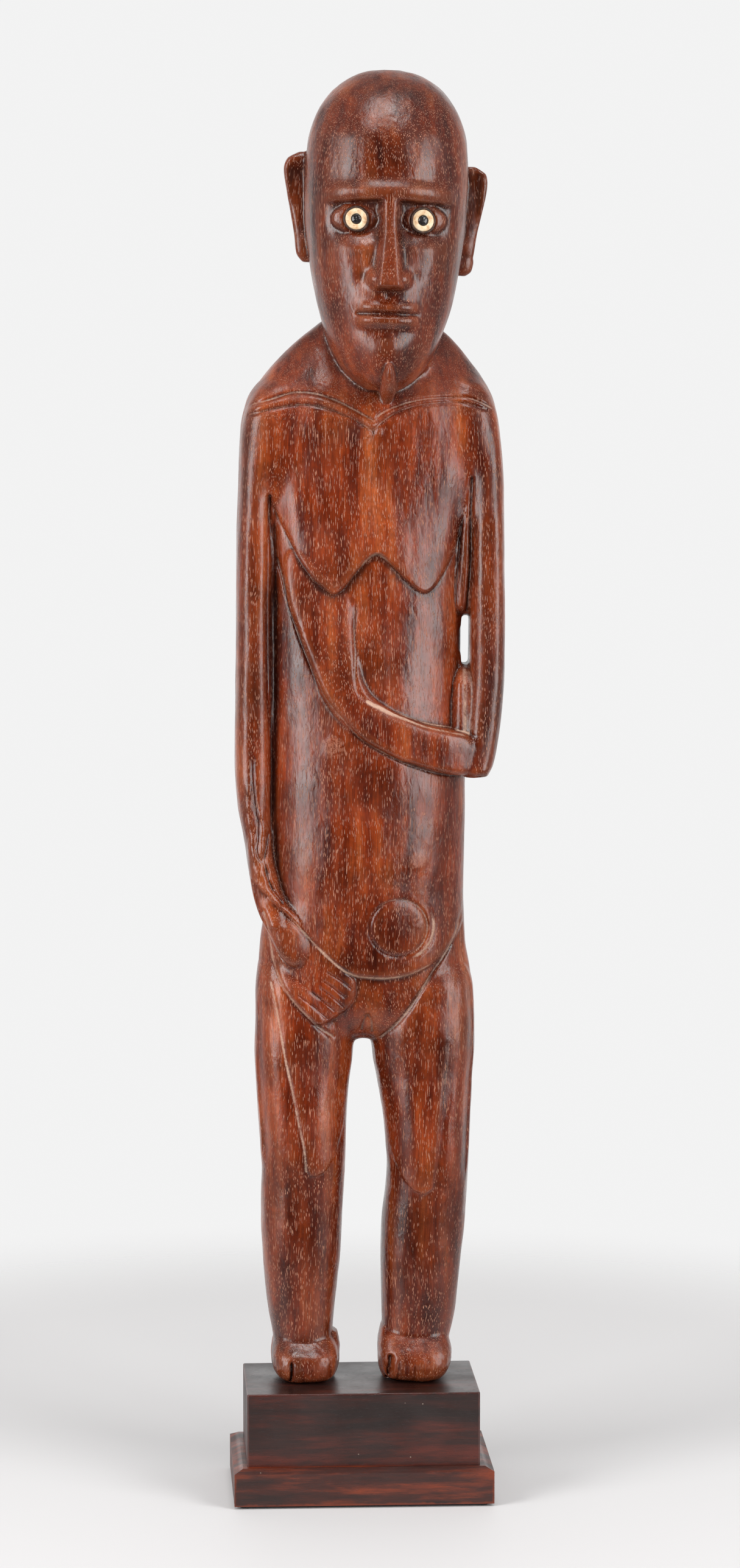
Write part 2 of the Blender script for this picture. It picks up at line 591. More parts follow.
HAND = [(-41, 246), (-36, 249), (-28.5, 242), (-22.5, 235.5), (-16, 229), (-8.5, 222), (-3.2, 217.5),
        (-3.3, 210), (-6.3, 205.2), (-9.5, 203), (-13.5, 200.2), (-19, 198.8), (-23, 202.5), (-29, 209),
        (-33.5, 216),
        (-36.5, 224), (-38, 231.5), (-39.8, 240)]
FINGER_CUTS = [
    [(-15.5, 221.5), (-9, 217.5), (-3.4, 213)],
    [(-17, 218), (-11.5, 214), (-6, 209.3)],
    [(-18.6, 215.3), (-12.5, 210.6), (-6.6, 205.3)],
    [(-21.8, 213.2), (-15.8, 208.6), (-10, 203.2)],
    [(-27, 211.8), (-20, 206.4), (-13.7, 200.6)],
]
FOREARM_TOP = [(49.5, 318), (45.5, 318.8), (37.2, 320.9), (30, 322.6), (22, 324.8), (12, 328.4), (4.5, 332),
               (0.3, 334.6), (-2.2, 338), (-3, 345), (-3, 353), (-3.3, 362), (-2.8, 369), (-2.2, 376)]
FOREARM_LOW = [(50, 301.9), (42, 302.0), (34.7, 302.6), (26, 305), (17, 308.4), (8.5, 312.6), (0.7, 317.2),
               (-4, 321.3), (-8.1, 326), (-12.3, 331), (-15.7, 336), (-19.5, 344), (-22.8, 352.3),
               (-26.5, 362),
               (-29.3, 372), (-31.5, 381), (-34, 391)]
RIGHT_ARM_CUT = [(-37.6, 417), (-38, 407), (-38.8, 383), (-38.8, 351), (-38, 327), (-37, 307), (-37, 291),
                 (-37.6, 281), (-39.5, 272), (-40, 266), (-37.5, 256.5), (-33, 249.5)]
LEFT_ARM_CUT = [(45.5, 424), (45, 408), (45, 392), (44.4, 380), (43.6, 370)]
LEFT_ARM_CUT_LOW = [(42.6, 347), (42.4, 334), (42.4, 321)]
WRIST_CUT = [(-44.8, 312), (-44.8, 302), (-44.3, 294.5), (-43.3, 287), (-42.2, 280.5), (-43, 270.5),
             (-40.6, 266),
             (-38.3, 259), (-35.6, 251.5), (-34.5, 247)]
WRIST_RIDGES = [
    [(-47.8, 303), (-46.9, 298), (-46.9, 291), (-46.4, 284), (-45.4, 277.5), (-44.8, 270.5), (-43.2, 264),
     (-40.2, 256.5), (-37.8, 250.5)],
    [(-42.2, 293), (-41.2, 287), (-40.8, 282.5), (-40.8, 278), (-40.2, 271), (-38.8, 261.8), (-36.4, 255.5),
     (-33.5, 248)],
]
RIGHT_ARRIS = [(-37.5, 216), (-35.2, 205), (-31.8, 185.5), (-28.4, 169), (-26, 156.5), (-24, 147), (-23, 137)]
LEFT_ARRIS = [(38.5, 226), (36.6, 205), (36, 186), (33, 161.5), (31, 142), (29.6, 128.8)]
RIGHT_TIP = [(-20, 134.6), (-15.5, 136.6), (-11, 143), (-7, 155), (-4, 175), (-4, 216)]
LEFT_TIP = [(26, 126.6), (21.5, 128.4), (17, 133.5), (12.5, 144), (7, 160), (4, 180), (4, 226)]
NAVEL = (14.8, 239.5)
KNOTS = ((-12, 314.6, 5.0), (23, 267.6, 4.3))
# Splits in the fronts of the feet: across, height of the top, depth, width
FOOT_SPLITS = [(-29.3, 57.5, 2.6, 0.55), (-24.2, 53, 0.35, 0.4), (-20.4, 54.5, 0.4, 0.35),
               (-17.2, 52.5, 0.35, 0.35),
               (-13.2, 56, 0.9, 0.45), (11.6, 60, 3.0, 1.3), (15.2, 57.5, 1.0, 0.5), (18.6, 55.5, 0.5, 0.4),
               (22.2, 56, 0.5, 0.4), (26.2, 54, 0.35, 0.4), (30.6, 54, 0.4, 0.4)]

point, normal = points_of(figure.data)
x, y, z = point.T.copy()
front = ease(0.12, 0.55, -normal[:, 1])
rear = ease(0.12, 0.55, normal[:, 1])
below_head = ease(467, 458, z)
cut, groove, crust = np.zeros((3, len(x)))


def score(points, width, depth, dust=0.0, spread=1.2, fade=0.0):
    """Cuts a soft V along a line on the front, and leaves dust in and beside it. Where two lines meet, the
    deeper one counts, so that a crossing isn't a pit."""
    line = flowing(points)
    near, left, along = to_line(x, z, line, 5)
    length = np.hypot(*np.diff(line, axis=0).T).sum()
    ends = ease(-0.01, fade, along) * ease(-0.01, fade, length - along) if fade else 1.0
    groove[:] = np.maximum(groove, front * below_head * depth * hill(near, width) * ends)
    crust[:] = np.maximum(crust, front * dust * hill(near, spread) * ends)
    return near, left


for line in (COLLAR_TOP, COLLAR_TOP_LEFT):
    score(line, 0.75, 1.1, dust=0.6, spread=0.7)
for line in (COLLAR_LOW, COLLAR_LOW_LEFT):
    near, left = score(line, 0.8, 0.8, dust=0.5, spread=0.7)
    cut -= front * below_head * 0.6 * hill(near - 2.0, 1.7) * ease(-0.2, 0.2, left)
score([(4.2, 442.5), (3.2, 438.5)], 0.5, 0.5, dust=0.5, spread=0.6)
score(CHEST_LINE, 0.5, 0.25, dust=0.42, spread=0.55, fade=6)
cut += front * 0.7 * hill(x - 4.6, 6) * ease(386, 398, z) * ease(438, 420, z)

# Breasts: they stand proud along one lower edge that runs over both, and die away upwards into the chest
line = flowing(BREASTS)
near, left, along = to_line(x, z, line, 12)
edge = np.interp(x, line[:, 0], line[:, 1])
proud = ease(-0.45, 0.75, np.where(near < 900, left, z - edge))
proud *= ease(line[0, 0], line[0, 0] + 16, x) * ease(line[-1, 0], line[-1, 0] - 20, x)
cut -= front * 2.6 * proud * hill(np.maximum(z - edge, 0), 26)
cut += front * 0.35 * hill(near, 0.7) * ease(0, 3, along)
crust = np.maximum(crust, front * 0.5 * hill(near + 0.2, 0.7))
crust = np.maximum(crust, front * 0.7 * hill(near, 1.3) * hill(x - 5, 9))

# Waist, forearm and elbow
score(FOREARM_TOP, 0.7, 0.6, dust=0.45, spread=0.9, fade=5)
score(FOREARM_TOP[1:8], 0.6, 0.3, dust=1.0, spread=1.1, fade=2)
near, left = score(FOREARM_LOW, 0.7, 0.9, dust=0.5, spread=0.9)
cut -= front * 0.5 * hill(near - 2.0, 2.0) * ease(-0.3, 0.3, -left) * ease(372, 350, z)
score(RIGHT_ARM_CUT, 0.8, 1.6, dust=0.3, spread=1.0)
score(LEFT_ARM_CUT, 0.8, 1.5, dust=0.25)
score(LEFT_ARM_CUT_LOW, 0.9, 0.7, dust=0.7, spread=1.4)
crust = np.maximum(crust, front * 0.5 * hill(x - 44.8, 2.6) * ease(317, 321, z) * ease(349, 344, z))

# Lower edge of the belly, the groins, and the hand that lies between
near, left, _ = to_line(x, z, flowing(BELLY_EDGE), 40)
under = front * ease(-0.5, 0.9, -left) * (near < 900)
cut += under * (1.6 * hill(near, 14) + 0.3 * hill(near, 19))
cut += front * 0.5 * hill(near, 0.8)
crust = np.maximum(crust, front * 0.8 * hill(near, 0.8) * ease(45, 20, np.abs(x)))
for groin in (LEFT_GROIN, RIGHT_GROIN):
    score(groin, 0.8, 0.9, dust=0.65, spread=0.9)
deep = inside(x, z, flowing(HAND, closed=True), reach=12)
cut -= front * 1.9 * ease(-0.6, 0.7, deep) * (0.75 + 0.25 * ease(0, 6, deep)) * ease(248, 238, z)
for line in FINGER_CUTS:
    score(line, 0.42, 0.75, dust=0.3, spread=0.5, fade=1.5)
score([(2.2, 203.5), (0.8, 199), (-0.2, 195)], 0.7, 1.0, dust=0.5, fade=1)
score([(2.2, 203.5), (4, 200), (4.6, 194)], 0.7, 1.0, dust=0.5, fade=1)
score([(23, 218), (22.6, 214), (22.5, 208.5)], 0.35, 0.35, dust=0.6, spread=0.35, fade=1)

# Navel disc and its ring, and the two knots
across, rise = x - NAVEL[0], z - NAVEL[1]
out = np.hypot(across, rise)
turn = np.arctan2(rise, across)
cut += front * (0.55 * hill(out - 12.0, 0.6) - 0.4 * ease(12, 9, out))
dusty_side = ease(-1.2, 0.4, np.sin(turn + 0.4) + 0.9 * np.cos(turn))
crust = np.maximum(crust, front * 0.7 * hill(out - 12.1, 0.5) * dusty_side)
crescent = np.hypot(across - 1.2, rise - 0.2)
cut += front * 0.4 * hill(crescent - 14.2, 0.7) * ease(0.35, 0.8, np.cos(turn + 0.35))
crust = np.maximum(crust, front * 0.85 * hill(crescent - 13.6, 1.0) * ease(0.5, 0.9, np.cos(turn + 0.35)))
knot = np.zeros(len(x))
for across, rise, size in KNOTS:
    out = np.hypot(x - across, z - rise)
    knot = np.maximum(knot, front * ease(size, size - 1.8, out + 0.9 * wander(point, (2, 2, 2), 21)))
    cut -= front * 0.22 * ease(size + 0.6, size - 1.6, out)

# Thighs: a flat front, like a long tongue that ends in a small step at the knee, meets a flat outer side
for outward, arris, tip in ((-1, RIGHT_ARRIS, RIGHT_TIP), (1, LEFT_ARRIS, LEFT_TIP)):
    line = np.array(arris, float)
    beyond = (x - np.interp(z, line[::-1, 1], line[::-1, 0])) * outward
    knee = line[-1, 1]
    leg = front * ease(knee - 1, knee + 10, z) * ease(232, 212, z) * (x * outward > 0)
    flat = 0.40 * np.maximum(beyond, 0) + 0.08 * np.maximum(-beyond, 0)
    cut += leg * flat * ease(-12, -2, y + 8 - 8 * ease(0, 6, beyond))
    tongue = inside(x, z, np.array(list(arris) + tip, float), reach=6)
    cut -= front * 0.8 * ease(-0.5, 0.6, tongue) * ease(knee + 60, knee + 12, z)

score(RIGHT_ARRIS, 0.8, 0.45, dust=0.78, spread=0.8)
score(LEFT_ARRIS[:4], 0.8, 0.3, dust=0.5, spread=0.8, fade=8)

# Feet: the toes are only splits that run up the grain of the blunt front faces
for across, top, depth, width in FOOT_SPLITS:
    bend = across + 0.35 * wander(point, (4, 4, 4), 31) + 0.05 * (z - 52)
    cut += front * depth * hill(x - bend, width) * ease(top, top - 2.5, z)

# Wrist: a groove between two ridges that are beaded and finely ribbed
score(WRIST_CUT, 0.7, 0.9, fade=6)
for ridge in WRIST_RIDGES:
    near, _, along = to_line(x, z, flowing(ridge), 5)
    bead = 0.65 + 0.35 * np.cos(along * 2 * np.pi / 6.8) + 0.12 * np.cos(along * 2 * np.pi / 1.7)
    cut -= front * 0.75 * hill(near, 1.5) * bead * ease(0, 8, along)

# Back: a shallow channel down the spine, shoulder blades, and the seat
cut += rear * 2.4 * hill(x - 3.5, 5.5) * ease(262, 290, z) * ease(455, 435, z)
for side in (-1, 1):
    blade = np.hypot((x - 3.5 - side * 21) / 15, (z - 418) / 24)
    cut -= rear * 1.6 * ease(1.05, 0.75, blade)
cut += rear * 3.2 * hill(x - 1.5, 2.4) * ease(240, 225, z)
cut += rear * 1.5 * hill(z - 242 - 0.012 * (x - 2) ** 2, 3)
cut += rear * 1.5 * hill(z - 194 + 0.02 * (np.abs(x - 1.5) - 22) ** 2, 2.5)

y = y + np.where(y < 4, cut + groove, -cut)

# Blade marks left all over by the last paring, finer on the head and coarser on the feet
mark = 0.30 * wander(point, (9, 9, 26), 3) + 0.12 * wander(point, (4, 4, 11), 5)
mark += 0.05 * wander(point, (1.6, 1.6, 5), 8)
mark += 0.16 * ease(66, 58, z) * wander(point, (1.4, 1.4, 2.0), 9)
point = np.stack([x, y, z], axis=-1) + normal * mark[:, None]
point[:, 2] = np.maximum(point[:, 2], SOLE)
move_points(figure.data, point)


def curvature(mesh, rounds):
    """How far each point stands out of the mean of its neighbours, in millimetres along its normal: above 0
    on edges and below 0 in hollows, smoothed over the given rounds of averaging."""
    place, facing = points_of(mesh)
    mean = averager(mesh)
    soft = place.copy()
    for _ in range(rounds):
        soft = np.stack([mean(soft[:, k]) for k in range(3)], axis=-1)
    stands = ((place - soft) * facing).sum(axis=1)
    for _ in range(2):
        stands = mean(stands)
    return stands


def keep_values(mesh, name, values):
    """Stores one number per point for the material to read."""
    layer = mesh.attributes.new(name, "FLOAT", "POINT")
    layer.data.foreach_set("value", np.asarray(values, np.float32))


keep_values(figure.data, "stands", curvature(figure.data, 12))
keep_values(figure.data, "crust", crust)
keep_values(figure.data, "knot", knot)
share = MOST_FACES / (2 * len(figure.data.vertices))
with_modifier(figure, "DECIMATE", ratio=share, use_collapse_triangulate=True)
figure.data.shade_smooth()
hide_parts("figure")
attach(figure, "figure")


def add(tree, kind, inputs=None, **settings):
    """Adds one node: settings go on the node, and inputs, by socket name or number, are values or links."""
    made = tree.nodes.new("ShaderNode" + kind)
    for setting, value in settings.items():
        setattr(made, setting, value)
    for socket, value in (inputs or {}).items():
        if isinstance(value, bpy.types.NodeSocket):
            tree.links.new(value, made.inputs[socket])
        else:
            made.inputs[socket].default_value = value
    return made


def ramp(tree, value, *stops):
    """A colour ramp from (place, colour) stops, where a colour may be one number for grey."""
    made = add(tree, "ValToRGB", {"Fac": value})
    made.color_ramp.elements.remove(made.color_ramp.elements[1])
    for i, (place, colour) in enumerate(stops):
        stop = made.color_ramp.elements[0] if i == 0 else made.color_ramp.elements.new(place)
        stop.position = place
        stop.color = (*([colour] * 3 if isinstance(colour, (int, float)) else colour), 1)
    return made.outputs["Color"]


def blend(tree, share, a, b, mode="MIX"):
    """Mixes colour b over colour a by share."""
    made = add(tree, "Mix", data_type="RGBA", blend_type=mode)
    for socket, value in ((made.inputs[0], share), (made.inputs[6], a), (made.inputs[7], b)):
        if isinstance(value, bpy.types.NodeSocket):
            tree.links.new(value, socket)
        else:
            socket.default_value = (*value, 1) if isinstance(value, tuple) else value
    return made.outputs[2]


def sum_of(tree, a, b, kind="ADD"):
    """One arithmetic step on values."""
    return add(tree, "Math", {0: a, 1: b}, operation=kind).outputs[0]


def group(name, inputs, outputs):
    """A shader node group with the given named sockets; returns it and its two end nodes."""
    made = bpy.data.node_groups.new(name, "ShaderNodeTree")
    for socket, kind, value in inputs:
        item = made.interface.new_socket(name=socket, in_out="INPUT", socket_type="NodeSocket" + kind)
        if value is not None:
            item.default_value = value
    for socket, kind in outputs:
        made.interface.new_socket(name=socket, in_out="OUTPUT", socket_type="NodeSocket" + kind)
    return made, made.nodes.new("NodeGroupInput"), made.nodes.new("NodeGroupOutput")


def new_finish(name):
    """A new material: itself, its node tree, its shader, and the place on the piece in metres."""
    made = bpy.data.materials.new(name)
    made.use_nodes = True
    tree = made.node_tree
    return made, tree, tree.nodes["Principled BSDF"], add(tree, "TexCoord").outputs["Object"]


def noise(tree, place, scale=1.0, detail=2.0, roughness=0.5, distortion=0.0):
    """Cloudy noise from 0 to 1 at a place, with that many cells to the unit."""
    made = add(tree, "TexNoise", {"Vector": place, "Scale": scale, "Detail": detail})
    made.inputs["Roughness"].default_value = roughness
    made.inputs["Distortion"].default_value = distortion
    return made.outputs["Fac"]


def span(tree, value, low=0.0, high=1.0, first=0.0, last=1.0, soft=False):
    """Runs from first to last as the value goes from low to high, in a straight line or eased when soft."""
    made = add(tree, "MapRange", {"Value": value, 1: low, 2: high, 3: first, 4: last})
    made.interpolation_type = "SMOOTHSTEP" if soft else "LINEAR"
    return made.outputs[0]


def stretched(tree, place, scale):
    """The place times a scale along each axis."""
    return add(tree, "Mapping", {"Vector": place, "Scale": scale}).outputs[0]


def emboss(tree, shader, height, strength, distance, under=None):
    """Bump of a height, over another bump if one is given, on the shader."""
    inputs = {"Height": height, "Strength": strength, "Distance": distance}
    if under is not None:
        inputs["Normal"] = under
    made = add(tree, "Bump", inputs).outputs["Normal"]
    tree.links.new(made, shader.inputs["Normal"])
    return made


# Grain shared by the carved wood and the two base woods. Cut vessels are short dashes along Z of the vector
# that is put in and dots across it; fibres and colour bands run the same way, and the ripple lies across.
grain, given, made = group(
    "timber_grain",
    [("Vector", "Vector", None), ("Spacing mm", "Float", 0.6), ("Vessel Radius", "Float", 0.22),
     ("Dash", "Float", 8.0)],
    [("Vessels", "Float"), ("Streaks", "Float"), ("Fibre", "Float"), ("Ribbon", "Float"),
     ("Ripple", "Float")],
)
metre_mm = add(grain, "VectorMath", {0: given.outputs["Vector"], "Scale": 1000.0},
               operation="SCALE").outputs[0]
slow = stretched(grain, metre_mm, (0.03, 0.03, 0.022))
drift = add(grain, "TexNoise", {"Vector": slow, "Scale": 1.0, "Detail": 1.0,
                                "Roughness": 0.4}).outputs["Color"]
drift = add(grain, "VectorMath", {0: drift, 1: (-0.5, -0.5, -0.5)}).outputs[0]
drift = add(grain, "VectorMath", {0: drift, 1: (6.0, 6.0, 0.0)}, operation="MULTIPLY").outputs[0]
fibre_place = add(grain, "VectorMath", {0: metre_mm, 1: drift}).outputs[0]
pitch = sum_of(grain, 1.0, given.outputs["Spacing mm"], "DIVIDE")


def dashes(longer, shift):
    """Rounded dashes scattered in cells that are longer than wide by the given factor."""
    squeeze = add(grain, "CombineXYZ", {0: 1.0, 1: 1.0,
                                        2: sum_of(grain, 1.0 / longer, given.outputs["Dash"], "DIVIDE")})
    cells = add(grain, "VectorMath", {0: fibre_place, 1: squeeze.outputs[0]}, operation="MULTIPLY").outputs[0]
    cells = add(grain, "VectorMath", {0: cells, 1: (shift, shift, shift)}).outputs[0]
    cells = add(grain, "TexVoronoi", {"Vector": cells, "Scale": pitch, "Randomness": 1.0}).outputs["Distance"]
    edge = sum_of(grain, given.outputs["Vessel Radius"], 0.6, "MULTIPLY")
    return span(grain, cells, given.outputs["Vessel Radius"], edge, soft=True)


fine = stretched(grain, fibre_place, (2.6, 2.6, 0.09))
fine = noise(grain, fine, detail=3.0, roughness=0.65)
broad = stretched(grain, fibre_place, (0.13, 0.09, 0.016))
broad = noise(grain, broad, detail=3.0, roughness=0.6)
curl = stretched(grain, fibre_place, (0.16, 0.10, 0.24))
curl = noise(grain, curl, detail=3.0, distortion=1.6)
for value, socket in ((dashes(1.0, 0.0), "Vessels"), (dashes(3.2, 40.0), "Streaks"), (fine, "Fibre"),
                      (broad, "Ribbon"), (curl, "Ripple")):
    grain.links.new(value, made.inputs[socket])

wood, tree, shader, place = new_finish("carved_wood")
timber = add(tree, "Group", {"Vector": place, "Spacing mm": 0.47, "Vessel Radius": 0.25, "Dash": 8.5},
             node_tree=grain)
stands = add(tree, "Attribute", attribute_name="stands").outputs["Fac"]
crusted = add(tree, "Attribute", attribute_name="crust").outputs["Fac"]
knotted = add(tree, "Attribute", attribute_name="knot").outputs["Fac"]
colour = ramp(tree, timber.outputs["Ribbon"], (0.33, (0.062, 0.0062, 0.0012)),
              (0.45, (0.135, 0.0165, 0.0030)),
              (0.55, (0.205, 0.0310, 0.0062)), (0.70, (0.310, 0.0660, 0.0165)))
fibre = span(tree, timber.outputs["Fibre"], 0.3, 0.7, 0.62, 1.38)
ripple = span(tree, timber.outputs["Ripple"], 0.3, 0.7, 0.86, 1.14)
shade = sum_of(tree, fibre, ripple, "MULTIPLY")
# handling and old polish: cloudy darker patches, and a darker head, arms and shins
clouds = noise(tree, place, 38.0, 4.0, 0.6)
clouds = span(tree, clouds, 0.36, 0.60, 0.58, 1.12)
shade = sum_of(tree, shade, clouds, "MULTIPLY")
split = add(tree, "SeparateXYZ", {0: place})
for level, far, near, share in (
    (split.outputs["Z"], 0.462, 0.500, 0.62),
    (split.outputs["Z"], 0.175, 0.115, 0.66),
    (sum_of(tree, split.outputs["X"], 0.0, "ABSOLUTE"), 0.0385, 0.0460, 0.78),
):
    shade = sum_of(tree, shade, span(tree, level, far, near, 1.0, share, soft=True), "MULTIPLY")
colour = add(tree, "VectorMath", {0: colour, "Scale": shade}, operation="SCALE").outputs[0]
# hollows hold old dark polish, and edges are rubbed paler
dark = span(tree, stands, -0.05, -0.32, soft=True)
colour = blend(tree, sum_of(tree, dark, 0.66, "MULTIPLY"), colour, (0.022, 0.0042, 0.0020))
rubbed = span(tree, stands, 0.03, 0.20, soft=True)
colour = blend(tree, sum_of(tree, rubbed, 0.20, "MULTIPLY"), colour, (0.30, 0.075, 0.025))
swirl = noise(tree, place, 420.0, 3.0, distortion=2.5)
knotted = sum_of(tree, knotted, span(tree, swirl, 0.38, 0.62), "MULTIPLY")
colour = blend(tree, sum_of(tree, knotted, 0.6, "MULTIPLY"), colour, (0.36, 0.14, 0.085))
# vessels hold pale dust; in some bands of the wood they are cut along their length and run as streaks
banded = stretched(tree, place, (34.0, 34.0, 14.0))
banded = noise(tree, banded)
banded = span(tree, banded, 0.41, 0.51)
streaked = sum_of(tree, timber.outputs["Streaks"], banded, "MULTIPLY")
vessels = sum_of(tree, timber.outputs["Vessels"], streaked, "MAXIMUM")
lit = noise(tree, place, 300.0)
lit = span(tree, lit, 0.3, 0.7, 0.30, 0.95)
colour = blend(tree, sum_of(tree, vessels, lit, "MULTIPLY"), colour, (0.56, 0.255, 0.155))
# grey-pink dust and dried wax, crumbly, in the cuts
crumbs = noise(tree, place, 900.0, 4.0, 0.7)
patchy = noise(tree, place, 130.0, 3.0)
dust = sum_of(tree, crusted, sum_of(tree, crumbs, patchy), "MULTIPLY")
dust = span(tree, dust, 0.36, 0.95, soft=True)
colour = blend(tree, sum_of(tree, dust, 0.85, "MULTIPLY"), colour, (0.58, 0.37, 0.27))
tree.links.new(colour, shader.inputs["Base Color"])
smear = noise(tree, place, 75.0, 5.0, 0.6)
rough = span(tree, smear, 0.32, 0.68, 0.20, 0.38)
rough = sum_of(tree, rough, sum_of(tree, sum_of(tree, vessels, dust, "MAXIMUM"), 0.35, "MULTIPLY"))
tree.links.new(rough, shader.inputs["Roughness"])
# pores and fibres, and under them the small facets of the last paring
relief = sum_of(tree, sum_of(tree, timber.outputs["Fibre"], 0.16, "MULTIPLY"),
                sum_of(tree, vessels, -0.7, "MULTIPLY"))
relief = sum_of(tree, relief, sum_of(tree, sum_of(tree, dust, crumbs, "MULTIPLY"), 1.2, "MULTIPLY"))
facets = stretched(tree, place, (420.0, 420.0, 190.0))
facets = noise(tree, facets, distortion=0.6)
pared = emboss(tree, shader, facets, 0.5, 0.00035)
emboss(tree, shader, relief, 0.7, 0.0002, under=pared)
shader.inputs["Specular IOR Level"].default_value = 0.5
figure.data.materials.clear()
figure.data.materials.append(wood)

# ---- The inlaid eyes: pitch, bone ring and obsidian pupil ------------------------------------------------
# Each eye is a hand-cut bone ring with a chipped obsidian dome in it, bedded in dark pitch that has squeezed
# out over the rim of a drilled socket. All three sit on one axis that looks a little outwards.
RING_PROFILE = [(4.22, -2.3), (4.32, -1.0), (4.32, -0.1), (4.22, 0.14), (3.9, 0.28), (3.3, 0.36),
                (2.75, 0.34),
                (2.35, 0.22), (2.14, 0.0), (2.1, -1.0), (2.1, -2.3)]
PUPIL_PROFILE = [(0.02, 0.62), (0.55, 0.59), (1.1, 0.48), (1.6, 0.28), (1.92, 0.02), (2.06, -0.3),
                 (2.08, -1.2),
                 (2.06, -2.3), (0.02, -2.32)]
PITCH_PROFILE = [(4.25, -2.9), (4.28, -0.3), (4.4, 0.0), (4.65, 0.12), (4.95, 0.05), (5.2, -0.25),
                 (5.3, -0.7),
                 (5.25, -1.6), (5.1, -2.8)]


def turned_piece(name, centre, side, profile, sway, seed, closed):
    """A turned form about the eye's axis. Radius and height come from a smooth run through the profile, and
    the radius sways with the turn by a sum of three waves whose phases come from the seed."""
    around, along = 96, 60
    profile = np.array(profile + profile[:1] if closed else profile, float)
    marks = np.concatenate([[0], np.cumsum(np.hypot(*np.diff(profile, axis=0).T))])
    share = np.linspace(0, 1, along, endpoint=not closed)
    radius, out = eased(share * marks[-1], marks, profile).T[:, :, None]
    turn = np.linspace(0, 2 * np.pi, around, endpoint=False)[None, :]
    waves = sum(np.sin(k * turn + seed * k * 1.7) / k for k in (2, 3, 5))
    radius = radius * (1 + sway * waves) + 0.03 * np.sin(7 * turn + seed) * np.sin(3 * out)
    out = out + 0.05 * np.sin(turn * 2 + seed) + 0.04 * np.sin(turn * 5 + 2 * seed)
    across, up = radius * np.cos(turn), radius * np.sin(turn)
    c, t = np.cos(EYE_TURN), side * np.sin(EYE_TURN)
    grid = np.stack([across * c + out * t, across * t - out * c, up], axis=-1) + centre
    mesh = bpy.data.meshes.new(name)
    if closed:
        ring = np.arange(along * around).reshape(along, around)
        up_one, round_one = np.roll(ring, -1, axis=0), np.roll(ring, -1, axis=1)
        quads = np.stack([ring, up_one, np.roll(up_one, -1, axis=1), round_one], axis=-1).reshape(-1, 4)
        mesh.from_pydata((grid.reshape(-1, 3) / 1000).tolist(), [], quads.tolist())
    else:
        ends = np.stack([grid[0].mean(axis=0), grid[-1].mean(axis=0)])
        points = np.concatenate([grid.reshape(-1, 3), ends]) / 1000
        mesh.from_pydata(points.tolist(), [], closed_faces(along, around, 0))
    piece = bpy.data.objects.new(name, mesh)
    bpy.context.scene.collection.objects.link(piece)
    work = bmesh.new()
    work.from_mesh(mesh)
    bmesh.ops.recalc_face_normals(work, faces=work.faces)
    work.to_mesh(mesh)
    work.free()
    mesh.shade_smooth()
    return piece


bone, tree, shader, place = new_finish("cut_bone")
cloud = noise(tree, place, 420.0, 3.0, 0.6)
colour = ramp(tree, cloud, (0.30, (0.52, 0.27, 0.12)), (0.44, (0.72, 0.50, 0.29)), (0.56, (0.80, 0.64, 0.43)),
              (0.75, (0.84, 0.73, 0.55)))
canals = add(tree, "TexVoronoi", {"Vector": place, "Scale": 2600.0}).outputs["Distance"]
canals = span(tree, canals, 0.26, 0.12, 0.0, 0.55, soft=True)
colour = blend(tree, canals, colour, (0.30, 0.13, 0.05))
stain = noise(tree, place, 190.0, 4.0, 0.7)
stain = span(tree, stain, 0.56, 0.72, 0.0, 0.75)
colour = blend(tree, stain, colour, (0.42, 0.14, 0.04))
tree.links.new(colour, shader.inputs["Base Color"])
tree.links.new(span(tree, cloud, first=0.28, last=0.5), shader.inputs["Roughness"])
cuts = add(tree, "Mapping", {"Vector": place, "Scale": (900.0, 900.0, 5200.0),
                             "Rotation": (0.0, 0.5, 0.0)}).outputs[0]
cuts = noise(tree, cuts)
emboss(tree, shader, sum_of(tree, cuts, canals, "SUBTRACT"), 0.35, 0.00012)

obsidian, tree, shader, place = new_finish("chipped_obsidian")
flow = noise(tree, place, 500.0, 3.0, distortion=1.5)
tree.links.new(ramp(tree, flow, (0.35, (0.010, 0.009, 0.009)), (0.65, (0.035, 0.030, 0.029))),
               shader.inputs["Base Color"])
tree.links.new(span(tree, flow, first=0.07, last=0.20), shader.inputs["Roughness"])
chips = add(tree, "TexVoronoi", {"Vector": place, "Scale": 800.0, "Smoothness": 0.4},
            feature="SMOOTH_F1").outputs["Distance"]
emboss(tree, shader, chips, 0.3, 0.0002)

resin, tree, shader, place = new_finish("socket_pitch")
lumps = noise(tree, place, 700.0, 5.0, 0.7)
tree.links.new(ramp(tree, lumps, (0.35, (0.014, 0.006, 0.004)), (0.55, (0.050, 0.018, 0.009)),
                    (0.75, (0.22, 0.11, 0.07))),
               shader.inputs["Base Color"])
tree.links.new(span(tree, lumps, first=0.35, last=0.8), shader.inputs["Roughness"])
emboss(tree, shader, lumps, 0.8, 0.0004)

for name, side, seed in (("right", -1, 0.8), ("left", 1, 3.1)):
    low, high = (np.array(corner) * 1000 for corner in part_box("eye_pitch_" + name))
    centre = np.array([(low[0] + high[0]) / 2 + side * 0.16, EYE_RIM, (low[2] + high[2]) / 2])
    for part, profile, sway, closed, finish in (
        ("pitch", PITCH_PROFILE, 0.05, True, resin),
        ("ring", RING_PROFILE, 0.022, True, bone),
        ("pupil", PUPIL_PROFILE, 0.010, False, obsidian),
    ):
        piece = turned_piece(f"{part}_{name}", centre, side, profile, sway, seed, closed)
        piece.data.materials.append(finish)
        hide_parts(f"eye_{part}_{name}")
        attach(piece, "figure")

